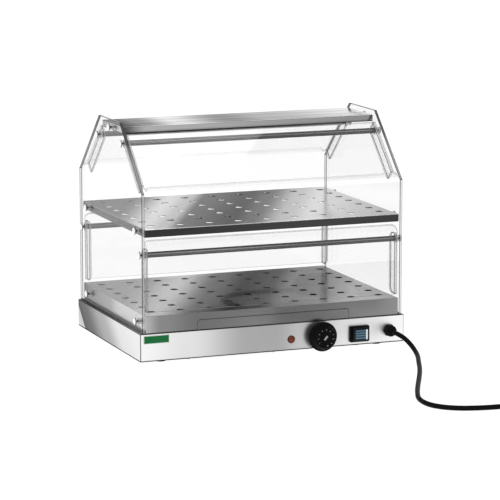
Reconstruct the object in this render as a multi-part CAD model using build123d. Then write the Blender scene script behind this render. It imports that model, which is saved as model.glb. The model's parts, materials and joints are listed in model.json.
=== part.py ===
from build123d import *
import math
import os

# Heated two-tier counter display case: a low stainless base with the heater and controls, two
# perforated shelves between clear side panels, and four hinged clear flaps, two on each long side.
# Millimetres, +Z up. The case is drawn about the centre of the base's underside, and put() then
# moves it to the part's frame, whose origin is on the table under the middle of the whole case.

os.makedirs("parts", exist_ok=True)

# Base
BASE_X = 250.0            # half width
BASE_Y = 175.0            # half depth
BASE_H = 49.0
SHEET = 1.0               # stainless sheet
FOOT_H = 5.0
FOOT_R = 10.0
FOOT_X = 205.0
FOOT_Y = 150.0
HEAT_X = 220.0            # half size of the hole in the base's top, under the lower shelf
HEAT_Y = 145.0
FLANGE_W = 12.0           # the shell's inward flange, on the bottom plate
PLATE_GAP = 0.2
BOTTOM_SCREWS = [(x, y) for x in (-160.0, 0.0, 160.0) for y in (-168.0, 168.0)]
FEET = [(sx * FOOT_X, sy * FOOT_Y) for sx in (-1, 1) for sy in (-1, 1)]

# Shelves
SHELF_X = 239.0
SHELF_Y = 172.5
LOWER_TOP = 80.0
UPPER_TOP = 232.0
UPPER_LIP = 14.0
HOLE_R = 7.0
HOLE_PITCH_X = 54.2
HOLE_PITCH_Y = 45.7
HOLE_COLUMNS = 9
HOLE_ROWS = 7

# Clear side panels, a house-shaped outline seen from the side
PANEL_IN = 240.5
PANEL_T = 5.0
PANEL_OUT = PANEL_IN + PANEL_T
PANEL_Y = 174.0
KNEE_Z = 293.5
ROOF_Y = 58.0
ROOF_Z = 404.3

# Top cover
COVER_X = 239.0
COVER_Y = 55.0
COVER_TOP = 396.0
COVER_LIP = 12.0

# Rods, which are the hinge pins of the flaps
ROD_R = 5.0
UPPER_ROD = (66.5, 368.3)     # y towards the flap's own side, and z
LOWER_ROD = (161.0, 185.7)
PIVOT_FIT = 0.06              # radial clearance of a flap on its rod

# Flaps: a bent clear sheet with a cheek plate at each end
FLAP_X = 237.0
FLAP_T = 4.0
UPPER_OFFSET = 16.2           # rod axis to the sheet's outer face
UPPER_ABOVE = 7.0             # sheet beyond the rod, up the slope
UPPER_LENGTH = 108.0          # rod to the bend of the finger lip
LIP_LENGTH = 25.65
LIP_DROP = 10.6               # degrees that the finger lip slopes down outwards
LOWER_OFFSET = 12.0
LOWER_LENGTH = 99.7
LOWER_ABOVE = 17.3
FLANGE_END = (1.0, 26.3)      # top edge of the lower flap's flange, from the rod
CHEEK_W = 24.0
LIP_CORNER = 8.0

# Screws
SHANK_R = 1.95
SHANK_HOLE = 2.25
HEAD_R = 6.3
HEAD_H = 3.4
NUT_R = 4.0
NUT_H = 3.0
LOWER_SCREW_Z = 65.2
UPPER_SCREW_Z = 224.9
SHELF_SCREW_Y = 136.0
COVER_SCREW_Z = 389.5
SCREW_PILOT = 1.4
WASHER_R = 5.0
SPACER_R = 8.0
ROD_SCREW_LENGTH = 17.0
PANEL_SCREW_LENGTH = 12.5
ROD_PLACES = [(s * y, z) for y, z in (UPPER_ROD, LOWER_ROD) for s in (-1, 1)]
SHELF_SCREWS = [(s * SHELF_SCREW_Y, z) for z in (LOWER_SCREW_Z, UPPER_SCREW_Z) for s in (-1, 1)]
COVER_SCREW = (0.0, COVER_SCREW_Z)

# Controls on the front face
FACE = -BASE_Y
BEHIND = -BASE_Y + SHEET
LAMP_X = 32.0
LAMP_Z = 19.5
LAMP_HOLE = 5.1
LENS_R = 7.0
LENS_REACH = 4.0
KNOB_X = 87.7
KNOB_Z = 22.4
KNOB_COLLAR_R = 15.0
KNOB_SKIRT_R = 26.5
KNOB_SKIRT = (10.5, 13.5)     # the skirt's back and front, from the panel
KNOB_GRIP_R = 23.5
KNOB_FRONT_R = 19.5
KNOB_REACH = 26.0
SHAFT_R = 3.0
BUSHING_R = 5.0
MARK = (9.0, 3.4, 48.0)       # index bar's length and width, and its slant in degrees
SWITCH_X = 162.0
SWITCH_Z = 20.5
SWITCH_W = 38.0
SWITCH_H = 29.5
SLEEVE_W = 32.6
SLEEVE_H = 24.6
WINDOW_W = 27.0
WINDOW_H = 20.0
ROCKER_REST = 8.0             # degrees
ROCKER_AXIS_Y = FACE + 1.0
ROCKER_PIN_R = 1.5
GLAND_X = 220.5
GLAND_Z = 22.5
GLAND_R = 10.5
GLAND_REACH = 20.0
THREAD_R = 8.0
BADGE = (-244.0, -197.0, 31.5, 46.0)      # x and z of the plate's edges
BADGE_T = 0.8

# Water tray in the lower shelf's front lip
TRAY_X = 143.0
TRAY_FRONT_LOW = 49.6
TRAY_FRONT_TOP = 66.9
TRAY_CORNER = 5.0
TRAY_GAP = 0.6
PAN_X = 138.0
PAN_BACK = 80.0
PAN_LOW = 50.5
PAN_TOP = 63.5

# Heater
ELEMENT_R = 4.0
ELEMENT_Z = 30.0
ELEMENT_BEND = 24.0
ELEMENT_POINTS = [
    (-180, -133), (-180, 125), (-62, 125), (-62, -88), (58, -88), (58, 125), (180, 125), (180, -133),
]
POST_PLACES = [(x, y) for x in (-180.0, 180.0) for y in (-60.0, 60.0)]
INSULATION_TOP = 12.0
SHIELD_Y = -125.0
BULB_Z = 41.0

# Wiring behind the controls
TERMINALS = (212.0, 236.0, -160.0, -143.0, 2.2, 16.0)
EARTH_STUD = (120.0, -140.0)
LEAD_R = 1.4
LEAD_BEND = 4.0
LEAD_ROUTES = [
    [(215.0, -163.5, 26.0), (215.0, -154.0, 26.0), (215.0, -154.0, 16.0)],
    [(219.0, -163.5, 23.0), (219.0, -154.0, 23.0), (219.0, -154.0, 16.0)],
    [(226.0, -147.0, 17.6), (226.0, -139.0, 29.0), (170.0, -140.0, 30.0), (168.0, -148.6, 28.0)],
    [(155.0, -148.6, 22.0), (150.0, -139.0, 22.0), (118.0, -139.0, 26.0), (109.4, -148.0, 28.0)],
    [(69.8, -155.0, 21.0), (54.0, -152.0, 8.0), (-160.0, -150.0, 8.0), (-180.0, -134.8, 27.0)],
    [(232.0, -150.0, 17.6), (232.0, -141.0, 33.0), (200.0, -137.0, 36.0), (182.0, -134.8, 32.0)],
]

# Power cord, on the table in front of the case
CORD_R = 4.25
CORD_LIFT = 0.1               # keeps the tube just off the table
COIL_MID = 51.0
COIL_CENTRE = (292.0, -635.5)
CORD_DOWN = CORD_R + CORD_LIFT
CORD_POINTS = [
    (220.5, -185.0, 27.5),
    (221.5, -201.0, 27.0),
    (226.5, -221.0, 22.8),
    (230.0, -241.5, 14.0),
    (229.0, -262.5, 6.6),
    (220.5, -290.5, CORD_DOWN),
    (205.0, -326.5, CORD_DOWN),
    (181.0, -384.5, CORD_DOWN),
    (153.0, -442.5, CORD_DOWN),
    (124.0, -499.5, CORD_DOWN),
    (98.0, -553.5, CORD_DOWN),
    (81.0, -597.5, CORD_DOWN),
    (82.0, -642.5, CORD_DOWN),
    (111.0, -674.5, CORD_DOWN),
    (156.0, -687.5, CORD_DOWN),
    (208.0, -689.5, CORD_DOWN),
    (252.0, -687.5, CORD_DOWN),
    (292.0, -686.5, CORD_DOWN),
]
COIL_TURNS = 3.25
PLUG_R = 18.5
PLUG_X = 344.0                # the plug lies with its axis along +Y
PLUG_TAIL_Y = -572.5
PLUG_POINTS = [               # from the coil's top turn down to the plug's tail
    (343.0, -635.5, CORD_DOWN + 2 * CORD_R * COIL_TURNS),
    (343.2, -618.5, 29.0),
    (343.6, -602.5, 24.5),
    (344.0, -587.5, PLUG_R),
    (344.0, -572.5, PLUG_R),
]

FRONT_REACH = BASE_Y + KNOB_REACH
LIP_TILT = math.radians(LIP_DROP)
SLOPE = math.atan2(ROOF_Z - KNEE_Z, PANEL_Y - ROOF_Y)
BEND_Y = UPPER_ROD[0] + UPPER_OFFSET * math.sin(SLOPE) + UPPER_LENGTH * math.cos(SLOPE)
REAR_REACH = BEND_Y + LIP_LENGTH * math.cos(LIP_TILT)
CASE_Y = (FRONT_REACH - REAR_REACH) / 2


def put(name, *shapes):
    """Writes a node of the case, moved from the base's own place to the part's frame."""
    save(name, *[Pos(0, CASE_Y, FOOT_H) * s for s in shapes])


def save(name, *shapes):
    """Writes a node whose shapes are already in the part's frame."""
    solids = [one for s in shapes for one in s.solids()]
    export_step(solids[0] if len(solids) == 1 else Compound(children=solids), f"parts/{name}.step")


def block(x0, x1, y0, y1, z0, z1):
    return Pos((x0 + x1) / 2, (y0 + y1) / 2, (z0 + z1) / 2) * Box(x1 - x0, y1 - y0, z1 - z0)


def bar_x(radius, x0, x1, y, z):
    return Pos((x0 + x1) / 2, y, z) * Rot(0, 90, 0) * Cylinder(radius, x1 - x0)


def bar_y(radius, y0, y1, x, z):
    return Pos(x, (y0 + y1) / 2, z) * Rot(90, 0, 0) * Cylinder(radius, y1 - y0)


def bar_z(radius, z0, z1, x, y):
    return Pos(x, y, (z0 + z1) / 2) * Cylinder(radius, z1 - z0)


def round_upright(shape, radius):
    """Rounds the edges that run along Z."""
    return fillet(shape.edges().filter_by(Axis.Z), radius)


def hexagon_x(x0, x1, y, z, radius):
    return extrude(Plane.YZ.offset(x0) * Pos(y, z) * RegularPolygon(radius, 6), x1 - x0)


def wire(points, radii, radius):
    """A round tube along straight runs joined by tangent arcs."""
    path = FilletPolyline(*points, radius=radii)
    return sweep(Plane(origin=path @ 0, z_dir=path % 0) * Circle(radius), path=path)


# ---------------------------------------------------------------- base

def front_hole(radius, x, z):
    return bar_y(radius, -BASE_Y - 1, -BASE_Y + SHEET + 1, x, z)


def base_shell():
    """Folded box, open below but for a narrow flange, with the front's control holes."""
    outer = round_upright(block(-BASE_X, BASE_X, -BASE_Y, BASE_Y, 0, BASE_H), 2.0)
    inner_x = BASE_X - SHEET
    inner_y = BASE_Y - SHEET
    shell = outer - block(-inner_x, inner_x, -inner_y, inner_y, 0, BASE_H - SHEET)
    shell -= block(-HEAT_X, HEAT_X, -HEAT_Y, HEAT_Y, BASE_H - SHEET, BASE_H)
    flange = block(-inner_x, inner_x, -inner_y, inner_y, SHEET, 2 * SHEET)
    flange_x = inner_x - FLANGE_W
    flange_y = inner_y - FLANGE_W
    flange -= block(-flange_x, flange_x, -flange_y, flange_y, SHEET, 2 * SHEET)
    for x, y in BOTTOM_SCREWS:
        flange -= bar_z(SCREW_PILOT, SHEET, 2 * SHEET, x, y)
    shell += flange
    shell -= front_hole(LAMP_HOLE, LAMP_X, LAMP_Z)
    shell -= front_hole(BUSHING_R + 0.1, KNOB_X, KNOB_Z)
    shell -= front_hole(THREAD_R + 0.1, GLAND_X, GLAND_Z)
    shell -= switch_block(SLEEVE_W + 0.2, SLEEVE_H + 0.2, -BASE_Y - 1, -BASE_Y + SHEET + 1)
    return shell


def switch_block(width, height, y0, y1):
    """A block centred on the switch's axis."""
    return block(SWITCH_X - width / 2, SWITCH_X + width / 2, y0, y1,
                 SWITCH_Z - height / 2, SWITCH_Z + height / 2)


def bottom_plate():
    x = BASE_X - SHEET - PLATE_GAP
    y = BASE_Y - SHEET - PLATE_GAP
    plate = block(-x, x, -y, y, 0, SHEET)
    for sx, sy in FEET:
        plate -= bar_z(SHANK_HOLE, 0, SHEET, sx, sy)
    for sx, sy in BOTTOM_SCREWS:
        plate -= bar_z(SCREW_PILOT + 0.1, 0, SHEET, sx, sy)
    return plate


def rubber_foot(x, y):
    """A round foot with a recess for its screw's head."""
    foot = fillet(Cylinder(FOOT_R, FOOT_H).edges().group_by(Axis.Z)[0], 1.0)
    foot = Pos(x, y, -FOOT_H / 2) * foot
    return foot - bar_z(5.0, -FOOT_H, -2.0, x, y) - bar_z(SHANK_HOLE, -FOOT_H, 0, x, y)


def base_parts():
    put("base_shell", base_shell())
    put("base_bottom_plate", bottom_plate())
    put("rubber_feet", *[rubber_foot(x, y) for x, y in FEET])
    put("foot_screws", *[
        bar_z(4.2, -4.0, -2.0, x, y) + bar_z(SHANK_R, -2.0, 6.5, x, y) for x, y in FEET
    ])
    nut = extrude(RegularPolygon(NUT_R, 6), NUT_H) - Pos(0, 0, NUT_H / 2) * Cylinder(SHANK_R + 0.02, NUT_H)
    put("foot_nuts", *[Pos(x, y, SHEET) * nut for x, y in FEET])
    put("bottom_screws", *[
        bar_z(3.4, -1.8, 0, x, y) + bar_z(SCREW_PILOT - 0.02, 0, 6.0, x, y) for x, y in BOTTOM_SCREWS
    ])


# ---------------------------------------------------------------- shelves and water tray

def tray_sheet(top, lip):
    """A shelf: a perforated sheet with its four sides folded down."""
    x = SHELF_X - SHEET
    y = SHELF_Y - SHEET
    outer = block(-SHELF_X, SHELF_X, -SHELF_Y, SHELF_Y, top - lip, top)
    outer = fillet(outer.edges().group_by(Axis.Z)[-1], 1.4)
    shell = outer - block(-x, x, -y, y, top - lip, top - SHEET)
    middle_column = (HOLE_COLUMNS - 1) / 2
    middle_row = (HOLE_ROWS - 1) / 2
    holes = [
        bar_z(HOLE_R, top - 2, top + 1, (i - middle_column) * HOLE_PITCH_X, (j - middle_row) * HOLE_PITCH_Y)
        for i in range(HOLE_COLUMNS) for j in range(HOLE_ROWS)
    ]
    return shell - holes


def screw_holes(shape, z):
    for y in (-SHELF_SCREW_Y, SHELF_SCREW_Y):
        shape -= bar_x(SHANK_HOLE, -SHELF_X - 1, -SHELF_X + SHEET + 1, y, z)
        shape -= bar_x(SHANK_HOLE, SHELF_X - SHEET - 1, SHELF_X + 1, y, z)
    return shape


def tray_front_outline(grow, y0, y1):
    """The water tray's front plate: square below, with its two top corners rounded."""
    x = TRAY_X + grow
    plate = block(-x, x, y0, y1, TRAY_FRONT_LOW - grow, TRAY_FRONT_TOP + grow)
    return fillet(plate.edges().filter_by(Axis.Y).group_by(Axis.Z)[-1], TRAY_CORNER)


def lower_shelf():
    shelf = screw_holes(tray_sheet(LOWER_TOP, LOWER_TOP - BASE_H), LOWER_SCREW_Z)
    return shelf - tray_front_outline(TRAY_GAP, -SHELF_Y - 1, -SHELF_Y + SHEET + 1)


def water_pan():
    wall = 0.8
    front = -SHELF_Y + SHEET
    pan = block(-PAN_X, PAN_X, front, PAN_BACK, PAN_LOW, PAN_TOP)
    pan -= block(-PAN_X + wall, PAN_X - wall, front + wall, PAN_BACK - wall, PAN_LOW + wall, PAN_TOP)
    return pan


def tray_rail(side):
    """An L-shaped rail under one long edge of the water tray."""
    rail = block(134, 143, -166, 166, BASE_H, BASE_H + 1.2) + block(141.8, 143, -166, 166, BASE_H, 60)
    return rail if side > 0 else mirror(rail, about=Plane.YZ)


def shelf_parts():
    put("lower_shelf", lower_shelf())
    put("upper_shelf", screw_holes(tray_sheet(UPPER_TOP, UPPER_LIP), UPPER_SCREW_Z))
    put("water_tray_pan", water_pan())
    put("water_tray_front", tray_front_outline(0, -SHELF_Y, -SHELF_Y + SHEET))
    put("water_tray_rails", tray_rail(-1), tray_rail(1))


# ---------------------------------------------------------------- side panels, cover, rods

def side_panel():
    """The right-hand panel."""
    outline = Polyline(
        (-PANEL_Y, BASE_H), (-PANEL_Y, KNEE_Z), (-ROOF_Y, ROOF_Z),
        (ROOF_Y, ROOF_Z), (PANEL_Y, KNEE_Z), (PANEL_Y, BASE_H), close=True,
    )
    panel = extrude(Plane.YZ.offset(PANEL_IN) * make_face(outline), PANEL_T)
    panel = chamfer(panel.edges(), 0.4)
    for y, z in ROD_PLACES + SHELF_SCREWS + [COVER_SCREW]:
        panel -= bar_x(SHANK_HOLE, PANEL_IN - 1, PANEL_OUT + 1, y, z)
    return panel


def top_cover():
    """A channel of polished sheet, open below, with a flange folded down at each end."""
    outer = block(-COVER_X, COVER_X, -COVER_Y, COVER_Y, COVER_TOP - COVER_LIP, COVER_TOP)
    outer = fillet(outer.edges().group_by(Axis.Z)[-1], 1.6)
    x = COVER_X - SHEET
    y = COVER_Y - SHEET
    cover = outer - block(-x, x, -y, y, COVER_TOP - COVER_LIP, COVER_TOP - SHEET)
    return cover - bar_x(SHANK_HOLE, -COVER_X - 1, COVER_X + 1, 0, COVER_SCREW_Z)


def rod(y, z):
    """A round bar between the panels, drilled at both ends for its screws."""
    depth = 14.0
    bar = bar_x(ROD_R, -PANEL_IN, PANEL_IN, y, z)
    bar -= bar_x(SHANK_R + 0.03, -PANEL_IN, -PANEL_IN + depth, y, z)
    return bar - bar_x(SHANK_R + 0.03, PANEL_IN - depth, PANEL_IN, y, z)


def dome_screw(side, y, z, length):
    """A screw through a panel from outside, with a low domed head."""
    head = fillet(Cylinder(HEAD_R, HEAD_H).edges().group_by(Axis.Z)[-1], HEAD_H - 0.3)
    head = Pos(PANEL_OUT + HEAD_H / 2, y, z) * Rot(0, 90, 0) * head
    screw = head + bar_x(SHANK_R, PANEL_OUT - length, PANEL_OUT, y, z)
    return screw if side > 0 else mirror(screw, about=Plane.YZ)


def ring_x(inner, outer, x0, x1, y, z):
    return bar_x(outer, x0, x1, y, z) - bar_x(inner, x0, x1, y, z)


def both_sides(make):
    """A fastener's right-hand solids and their mirror images."""
    return make + [mirror(s, about=Plane.YZ) for s in make]


def frame_parts():
    panel = side_panel()
    put("side_panel_right", panel)
    put("side_panel_left", mirror(panel, about=Plane.YZ))
    put("top_cover", top_cover())
    for name, (y, z) in zip(("front_upper", "rear_upper", "front_lower", "rear_lower"), ROD_PLACES):
        put(f"rod_{name}", rod(y, z))
    put("rod_end_screws", *[dome_screw(s, y, z, ROD_SCREW_LENGTH) for s in (-1, 1) for y, z in ROD_PLACES])
    put("shelf_screws", *[dome_screw(s, y, z, PANEL_SCREW_LENGTH) for s in (-1, 1) for y, z in SHELF_SCREWS])
    put("cover_screws", *[dome_screw(s, *COVER_SCREW, PANEL_SCREW_LENGTH) for s in (-1, 1)])
    fixed = SHELF_SCREWS + [COVER_SCREW]
    put("panel_washers", *both_sides([
        ring_x(SHANK_HOLE, WASHER_R, SHELF_X, PANEL_IN, y, z) for y, z in fixed
    ]))
    nut_x = SHELF_X - SHEET - NUT_H
    put("panel_nuts", *both_sides([
        hexagon_x(nut_x, nut_x + NUT_H, y, z, NUT_R) - bar_x(SHANK_R + 0.02, nut_x, nut_x + NUT_H, y, z)
        for y, z in fixed
    ]))
    put("flap_spacers", *both_sides([
        ring_x(ROD_R + 0.05, SPACER_R, FLAP_X + 0.3, PANEL_IN, y, z) for y, z in ROD_PLACES
    ]))


# ---------------------------------------------------------------- flaps

def flap_sheet(path_points, radius, corner_at):
    """A bent clear sheet as wide as the flap. Its path is the outer face, seen from the +X side."""
    path = FilletPolyline(*path_points, radius=radius)
    outline = make_face(offset(path, amount=FLAP_T, side=Side.LEFT, closed=True).edges())
    sheet = extrude(Plane.YZ.offset(-FLAP_X) * outline, 2 * FLAP_X)
    short = [
        e for e in sheet.edges()
        if abs(e.length - FLAP_T) < 0.01 and (e.center() - Vector(e.center().X, *corner_at)).length < 6
    ]
    return fillet(short, LIP_CORNER)


def cheek_plate(rod_at, turn, near, length, above, corner):
    """An end plate that hangs on the rod. Its local x runs down the flap and y runs inwards."""
    far = near + CHEEK_W
    plate = Pos((length - above) / 2, (near + far) / 2) * Rectangle(length + above, CHEEK_W)
    inner = plate.vertices().group_by(Axis.Y)[-1].sort_by(Axis.X)
    plate = fillet([inner[0]], 11.0)
    inner = plate.vertices().group_by(Axis.X)[-1].sort_by(Axis.Y)
    plate = fillet([inner[-1]], corner)
    plate -= Circle(ROD_R + PIVOT_FIT)
    face = Plane.YZ.offset(FLAP_X - FLAP_T) * Pos(*rod_at) * Rot(0, 0, turn) * plate
    right = extrude(face, FLAP_T)
    return [right, mirror(right, about=Plane.YZ)]


def upper_flap():
    """The front upper flap: a sloping sheet just inside the panels' edge, with a finger lip."""
    y, z = -UPPER_ROD[0], UPPER_ROD[1]
    down = Vector(-math.cos(SLOPE), -math.sin(SLOPE))
    out = Vector(-math.sin(SLOPE), math.cos(SLOPE))
    pivot = Vector(y, z)
    top = pivot + out * UPPER_OFFSET - down * UPPER_ABOVE
    bend = pivot + out * UPPER_OFFSET + down * UPPER_LENGTH
    lip = bend + Vector(-math.cos(LIP_TILT), -math.sin(LIP_TILT)) * LIP_LENGTH
    points = [(p.X, p.Y) for p in (top, bend, lip)]
    sheet = flap_sheet(points, 7.0, points[2])
    turn = math.degrees(math.atan2(down.Y, down.X))
    cheeks = cheek_plate((y, z), turn, FLAP_T - UPPER_OFFSET, UPPER_LENGTH - 3.0, 11.0, 6.0)
    return sheet, cheeks


def lower_flap():
    """The front lower flap: an upright sheet whose top is bent inwards over the rod."""
    y, z = -LOWER_ROD[0], LOWER_ROD[1]
    face = y - LOWER_OFFSET
    top = (y + FLANGE_END[0], z + FLANGE_END[1])
    points = [top, (face, z + LOWER_ABOVE), (face, z - LOWER_LENGTH)]
    sheet = flap_sheet(points, 6.0, top)
    cheeks = cheek_plate((y, z), -90.0, FLAP_T - LOWER_OFFSET, LOWER_LENGTH, 11.0, 12.0)
    return sheet, cheeks


def flap_parts():
    for level, (sheet, cheeks) in (("upper", upper_flap()), ("lower", lower_flap())):
        put(f"front_{level}_flap_sheet", sheet)
        put(f"front_{level}_flap_cheeks", *cheeks)
        put(f"rear_{level}_flap_sheet", mirror(sheet, about=Plane.XZ))
        put(f"rear_{level}_flap_cheeks", *[mirror(c, about=Plane.XZ) for c in cheeks])


# ---------------------------------------------------------------- heater

def heating_element():
    points = [(x, y, ELEMENT_Z) for x, y in ELEMENT_POINTS]
    return wire(points, ELEMENT_BEND, ELEMENT_R)


def element_post(x, y):
    """A bent clip that holds the element above the insulation."""
    post = block(x - 7, x + 7, y - 4, y + 4, SHEET, ELEMENT_Z + 7)
    return post - bar_y(ELEMENT_R + 0.1, y - 5, y + 5, x, ELEMENT_Z)


def insulation_mat():
    mat = block(-232, 232, SHIELD_Y + 2, 160, SHEET, INSULATION_TOP)
    for x, y in POST_PLACES:
        mat -= block(x - 8, x + 8, y - 5, y + 5, SHEET, INSULATION_TOP)
    for x, y in FEET:
        mat -= bar_z(8, SHEET, INSULATION_TOP, x, y)
    return mat


def heat_shield():
    """The wall between the heater and the wiring behind the controls."""
    shield = block(-236, 236, SHIELD_Y, SHIELD_Y + SHEET, 2.2, BASE_H - SHEET)
    for x in (-180, 180):
        shield -= bar_y(ELEMENT_R + 0.1, SHIELD_Y - 1, SHIELD_Y + 2, x, ELEMENT_Z)
    return shield - bar_y(1.6, SHIELD_Y - 1, SHIELD_Y + 2, KNOB_X, BULB_Z)


def thermostat_bulb():
    """The sensing bulb and the thin tube that joins it to the thermostat."""
    thin = bar_y(1.0, -132.0, -95.0, KNOB_X, BULB_Z)
    return thin + bar_y(3.2, -95.0, -15.0, KNOB_X, BULB_Z)


def heater_parts():
    put("heating_element", heating_element())
    put("element_posts", *[element_post(x, y) for x, y in POST_PLACES])
    put("insulation_mat", insulation_mat())
    put("heat_shield", heat_shield())
    put("thermostat_bulb", thermostat_bulb())


# ---------------------------------------------------------------- controls

def thermostat_body():
    body = block(KNOB_X - 16.1, KNOB_X + 19.9, BEHIND, BEHIND + 30, KNOB_Z - 17.8, KNOB_Z + 18.2)
    body += block(KNOB_X - 4, KNOB_X + 4, BEHIND + 30, -132.0, BULB_Z - 4, BULB_Z + 2)
    body += bar_y(BUSHING_R, FACE - 2, BEHIND, KNOB_X, KNOB_Z)
    return body - bar_y(SHAFT_R + 0.06, FACE - 3, BEHIND + 12, KNOB_X, KNOB_Z)


def knob():
    """A round knob: a collar, a wide thin skirt and a grip that narrows to a soft front edge."""
    back, front = KNOB_SKIRT
    grip = Cone(KNOB_GRIP_R, KNOB_FRONT_R, KNOB_REACH - front)
    grip = fillet(grip.edges().group_by(Axis.Z)[-1], 1.6)
    body = Pos(KNOB_X, FACE - (KNOB_REACH + front) / 2, KNOB_Z) * Rot(90, 0, 0) * grip
    body += bar_y(KNOB_SKIRT_R, FACE - front, FACE - back, KNOB_X, KNOB_Z)
    body += bar_y(KNOB_COLLAR_R, FACE - back, FACE - 1, KNOB_X, KNOB_Z)
    body -= bar_y(KNOB_COLLAR_R - 3, FACE - 4, FACE, KNOB_X, KNOB_Z)
    body -= bar_y(SHAFT_R, FACE - 20, FACE, KNOB_X, KNOB_Z)
    mark = knob_mark(FACE - KNOB_REACH, FACE - KNOB_REACH + 1)
    return body - mark


def knob_mark(y0, y1):
    """The pale index bar let into the middle of the knob's face, aslant."""
    length, width, slant = MARK
    bar = Box(length, y1 - y0, width)
    return Pos(KNOB_X, (y0 + y1) / 2, KNOB_Z) * Rot(0, -slant, 0) * bar


def switch_frame():
    bezel = switch_block(SWITCH_W, SWITCH_H, FACE - 4, FACE)
    bezel = fillet(bezel.edges().filter_by(Axis.Y), 3.0)
    frame = bezel + switch_block(SLEEVE_W, SLEEVE_H, FACE, FACE + 6)
    frame -= switch_block(WINDOW_W, WINDOW_H, FACE - 5, FACE + 7)
    return frame - rocker_pin()


def rocker_pin():
    return bar_z(ROCKER_PIN_R, SWITCH_Z - 12, SWITCH_Z + 12, SWITCH_X, ROCKER_AXIS_Y)


def switch_rocker():
    """The rocker, tilted to its off side about an upright pin."""
    body = Pos(0, -2.0, 0) * fillet(Box(23.0, 8.0, 17.0).edges().filter_by(Axis.Z), 1.5)
    body -= Cylinder(ROCKER_PIN_R + PIVOT_FIT, 20)
    return Pos(SWITCH_X, ROCKER_AXIS_Y, SWITCH_Z) * Rot(0, 0, -ROCKER_REST) * body


def switch_cover():
    """A clear splash cover that bulges over the rocker."""
    y0 = FACE - 12.5
    y1 = FACE - 4
    outer = switch_block(WINDOW_W + 4, WINDOW_H + 4, y0, y1)
    outer = fillet(outer.edges().filter_by(Axis.Y), 3.0)
    outer = fillet(outer.edges().group_by(Axis.Y)[0], 2.0)
    return outer - switch_block(WINDOW_W + 1.6, WINDOW_H + 1.6, y0 + 1.2, y1)


def gland_body():
    """The hexagon and thread that clamp the cord's gland to the panel."""
    hexagon = extrude(Plane.XZ.offset(-FACE) * Pos(GLAND_X, GLAND_Z) * RegularPolygon(11.4, 6), 4.0)
    return hexagon + bar_y(9.2, FACE - 5, FACE - 4, GLAND_X, GLAND_Z) + bar_y(
        THREAD_R, FACE, FACE + 11, GLAND_X, GLAND_Z)


def gland_nut():
    """The gland's domed nut, which tapers to the cord."""
    profile = Polyline((0, 5), (GLAND_R, 5), (GLAND_R, 13), (8.2, 17.5), (5.8, 20), (0, 20), close=True)
    face = make_face(profile)
    turned = revolve(Plane.XY * face, Axis.Y)
    return Pos(GLAND_X, FACE, GLAND_Z) * Rot(0, 0, 180) * turned


def gland_locknut():
    nut = extrude(Plane.XZ.offset(-BEHIND) * Pos(GLAND_X, GLAND_Z) * RegularPolygon(11.5, 6), -5.0)
    return nut - bar_y(THREAD_R + 0.03, BEHIND, BEHIND + 6, GLAND_X, GLAND_Z)


def pilot_lens():
    lens = Cylinder(LENS_R, LENS_REACH)
    lens = fillet(lens.edges().group_by(Axis.Z)[-1], 3.0)
    return Pos(LAMP_X, FACE - LENS_REACH / 2, LAMP_Z) * Rot(90, 0, 0) * lens


def leads():
    return [wire(points, LEAD_BEND, LEAD_R) for points in LEAD_ROUTES]


def control_parts():
    put("thermostat_body", thermostat_body())
    put("thermostat_shaft", bar_y(SHAFT_R, FACE - 18.9, BEHIND + 11, KNOB_X, KNOB_Z))
    put("knob", knob())
    put("knob_mark", knob_mark(FACE - KNOB_REACH, FACE - KNOB_REACH + 1))
    put("pilot_lens", pilot_lens())
    put("pilot_body", bar_y(5.0, FACE, BEHIND + 26, LAMP_X, LAMP_Z))
    put("switch_frame", switch_frame())
    put("switch_rocker", switch_rocker())
    put("switch_pin", rocker_pin())
    put("switch_cover", switch_cover())
    put("switch_body", switch_block(SLEEVE_W, SLEEVE_H, FACE + 6, FACE + 25))
    put("gland_body", gland_body())
    put("gland_nut", gland_nut())
    put("gland_locknut", gland_locknut())
    put("terminal_block", block(*TERMINALS))
    put("earth_stud", bar_z(2.0, SHEET, 14.0, *EARTH_STUD))
    put("internal_leads", *leads())
    put("badge_plate", block(BADGE[0], BADGE[1], FACE - BADGE_T, FACE, BADGE[2], BADGE[3]))


# ---------------------------------------------------------------- power cord

def arc_radii(points):
    """Each corner's arc: 0.45 of its shorter run over the tangent of half the turn."""
    radii = []
    for a, b, c in zip(points, points[1:], points[2:]):
        first = Vector(*b) - Vector(*a)
        second = Vector(*c) - Vector(*b)
        turn = math.radians(first.get_angle(second))
        radii.append(0.45 * min(first.length, second.length) / math.tan(turn / 2))
    return radii


def cord_coil():
    """The outer shape of the coiled length: stacked turns, one cord wide."""
    width = CORD_R + 0.4
    height = 2 * CORD_R * (COIL_TURNS + 1) + 0.4
    x, y = COIL_CENTRE
    return bar_z(COIL_MID + width, 0, height, x, y) - bar_z(COIL_MID - width, 0, height, x, y)


def plug():
    """A two-pin mains plug lying on its side, with a tapered tail towards the coil."""
    profile = Polyline(
        (0, 0), (5.2, 0), (7.5, 22), (PLUG_R - 3, 27), (PLUG_R, 32), (PLUG_R, 62), (0, 62), close=True
    )
    body = Pos(PLUG_X, PLUG_TAIL_Y, PLUG_R) * revolve(Plane.XY * make_face(profile), Axis.Y)
    end = PLUG_TAIL_Y + 62
    return body + [bar_y(2.4, end, end + 19, PLUG_X + side * 9.5, PLUG_R) for side in (-1, 1)]


def cord_tube(points):
    """A stretch of cord that isn't coiled."""
    radii = arc_radii(points)
    path = FilletPolyline(*points, radius=radii)
    tube = sweep(Plane(origin=path @ 0, z_dir=path % 0) * Circle(CORD_R), path=path)
    share = tube.volume / (math.pi * CORD_R ** 2 * path.length)
    print("cord radii", [round(r) for r in radii], "length", round(path.length, 1), "volume", round(share, 4))
    return tube


def cord_parts():
    save("power_cord", cord_tube(CORD_POINTS), cord_tube(PLUG_POINTS))
    save("cord_coil", cord_coil())
    save("cord_plug", plug())


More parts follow.
